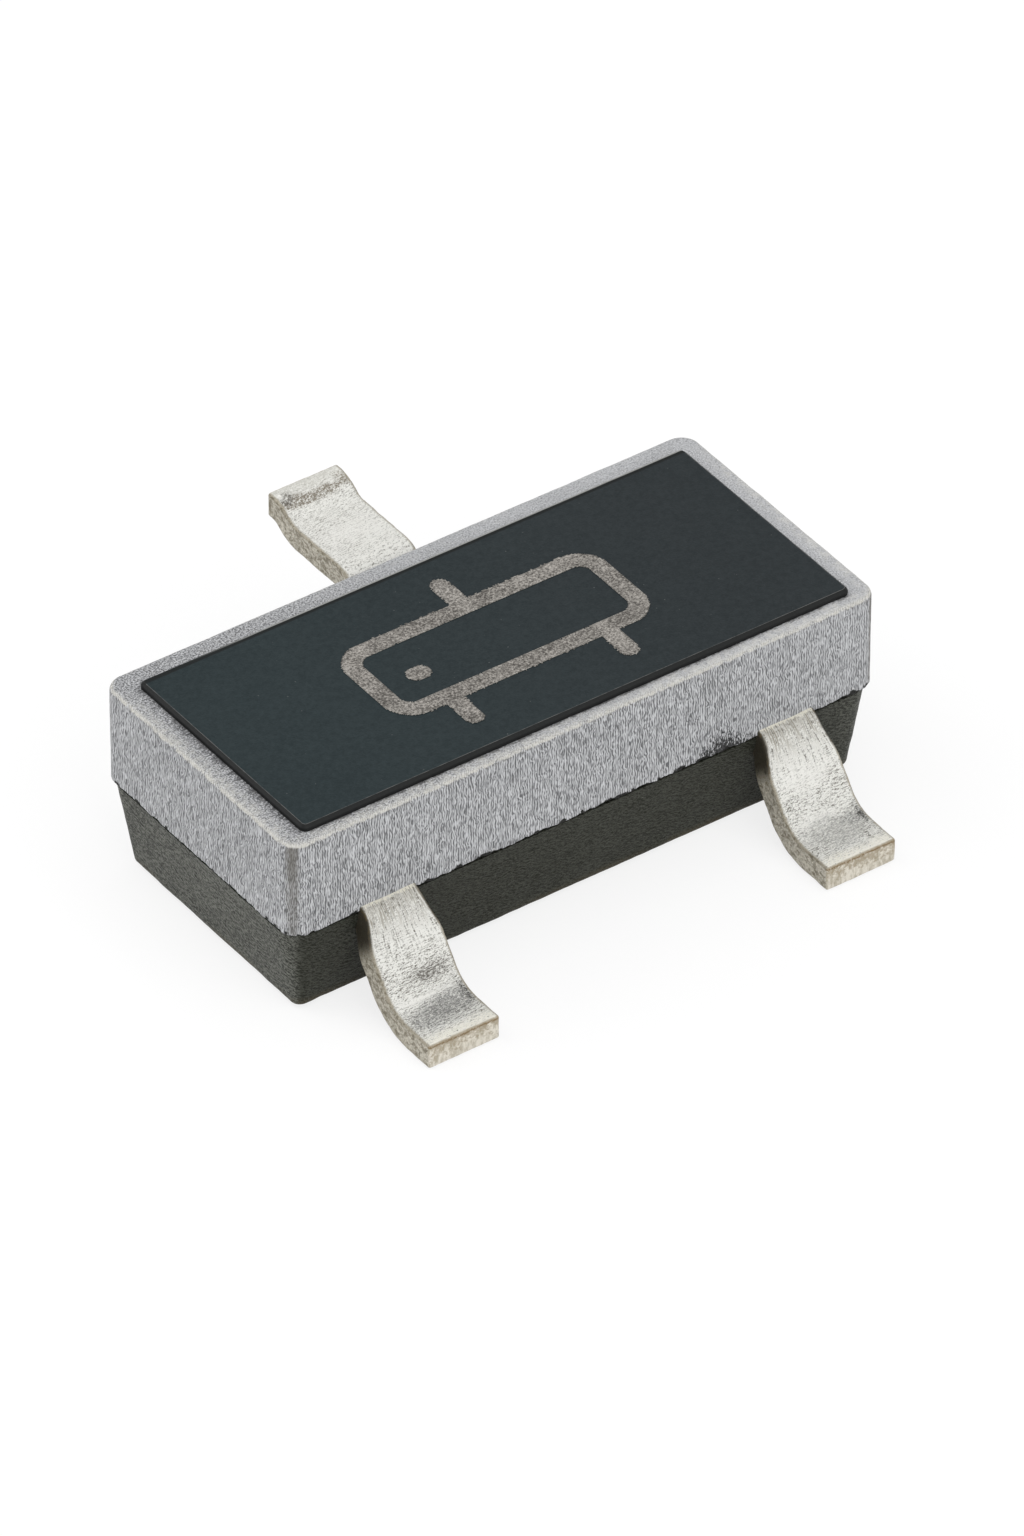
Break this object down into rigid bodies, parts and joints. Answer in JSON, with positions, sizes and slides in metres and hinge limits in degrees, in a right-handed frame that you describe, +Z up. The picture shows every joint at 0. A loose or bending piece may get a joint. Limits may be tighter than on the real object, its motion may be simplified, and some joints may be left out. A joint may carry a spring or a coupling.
{
  "type": "small-outline transistor",
  "caption": "Small-outline surface-mount transistor: a moulded two-tone body with a raised top plate and formed tin-plated leads, which switches or amplifies a small current",
  "frame": {"origin": "on the seating plane, under the middle of the moulded body", "axes": "X runs along the body, -Y points to the side with the base and emitter leads, +Z is up"},
  "size_m": [0.0028, 0.0025, 0.0009],
  "materials": {
    "pale_moulding": "matte pale lavender grey with a fine upright grain",
    "dark_moulding": "matte olive black with a fine leathery grain",
    "slate_plate": "satin dark slate",
    "tinned_lead": "dull tin plating with fine crackle and brown tarnish",
    "silicon": "polished silicon",
    "die_adhesive": "silver-filled adhesive",
    "gold_wire": "drawn gold"
  },
  "bodies": {
    "root": {"upper_body": "pale_moulding", "lower_body": "dark_moulding", "top_plate": "slate_plate", "base_lead": "tinned_lead", "emitter_lead": "tinned_lead", "collector_lead": "tinned_lead", "silicon_die": "silicon", "die_bond": "die_adhesive", "base_wire": "gold_wire", "emitter_wire": "gold_wire"}
  },
  "joints": []
}
